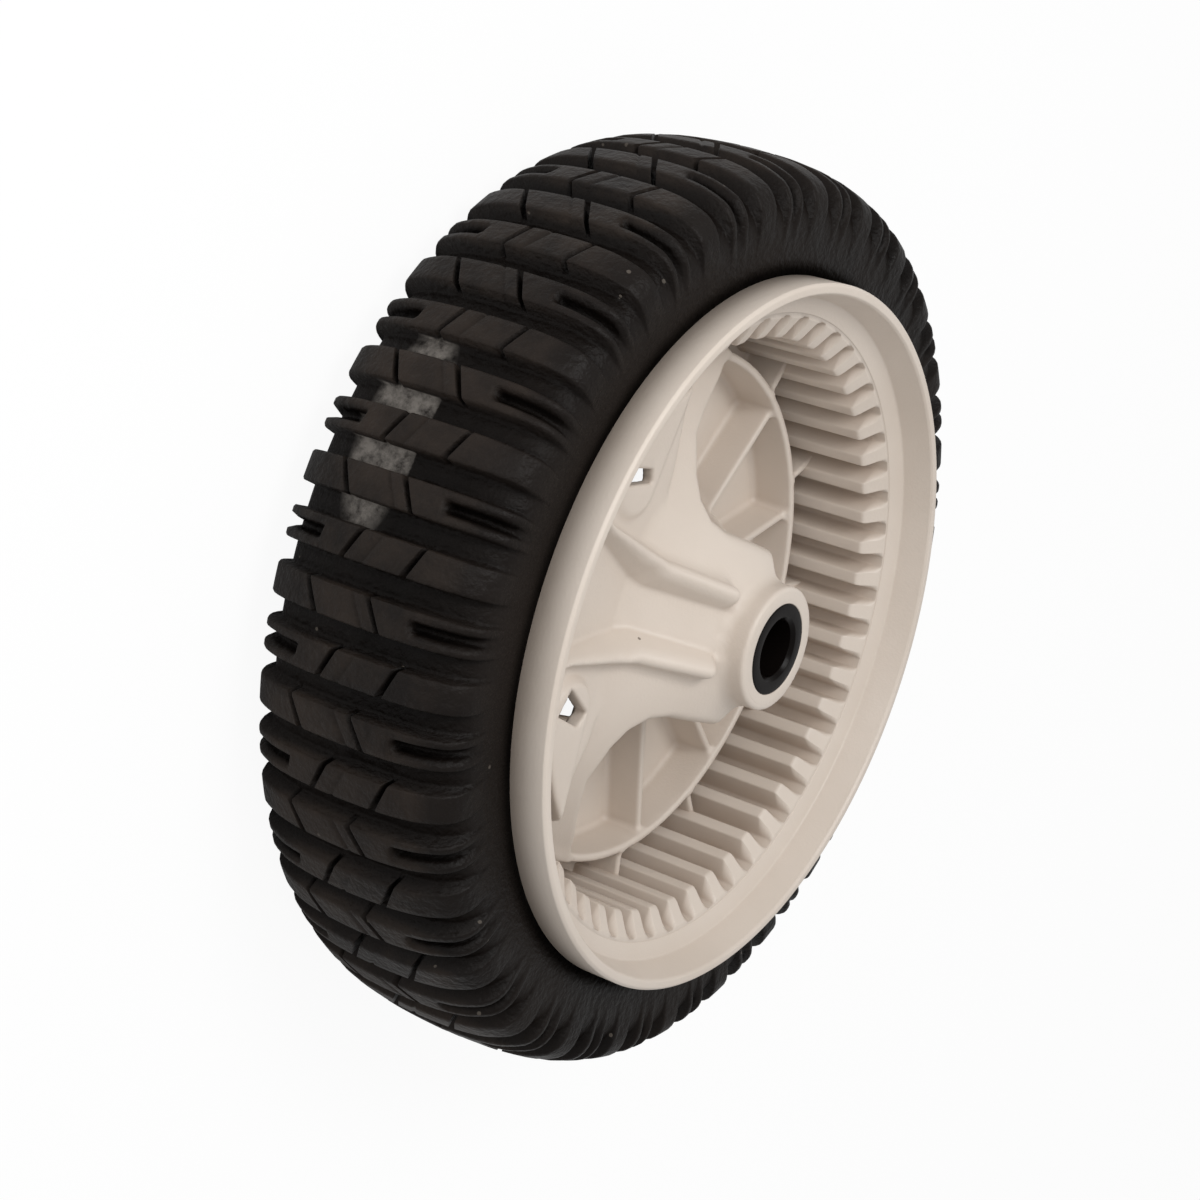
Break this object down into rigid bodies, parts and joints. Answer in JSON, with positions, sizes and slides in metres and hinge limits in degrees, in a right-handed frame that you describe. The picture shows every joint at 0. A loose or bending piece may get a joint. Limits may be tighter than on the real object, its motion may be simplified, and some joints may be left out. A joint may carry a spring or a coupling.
{
  "type": "lawn mower wheel",
  "caption": "Rubber-tyred drive wheel with a lugged tread, a one-piece plastic body with an internal gear ring and a raised web arm, and a pressed-in axle bushing.",
  "frame": {"origin": "on the axle axis, at the middle of the tyre's width", "axes": "+Z along the axle axis, out of the gear side; +X along the valley of the web's raised arm"},
  "size_m": [0.203, 0.203, 0.0643],
  "materials": {
    "wheel_plastic": "moulded off-white plastic with a slight sheen",
    "tyre_rubber": "dark rubber, slightly glossy in the grooves",
    "bushing_plastic": "black, smooth"
  },
  "bodies": {
    "root": {"wheel_body": "wheel_plastic", "tyre": "tyre_rubber", "bushing": "bushing_plastic"}
  },
  "joints": []
}
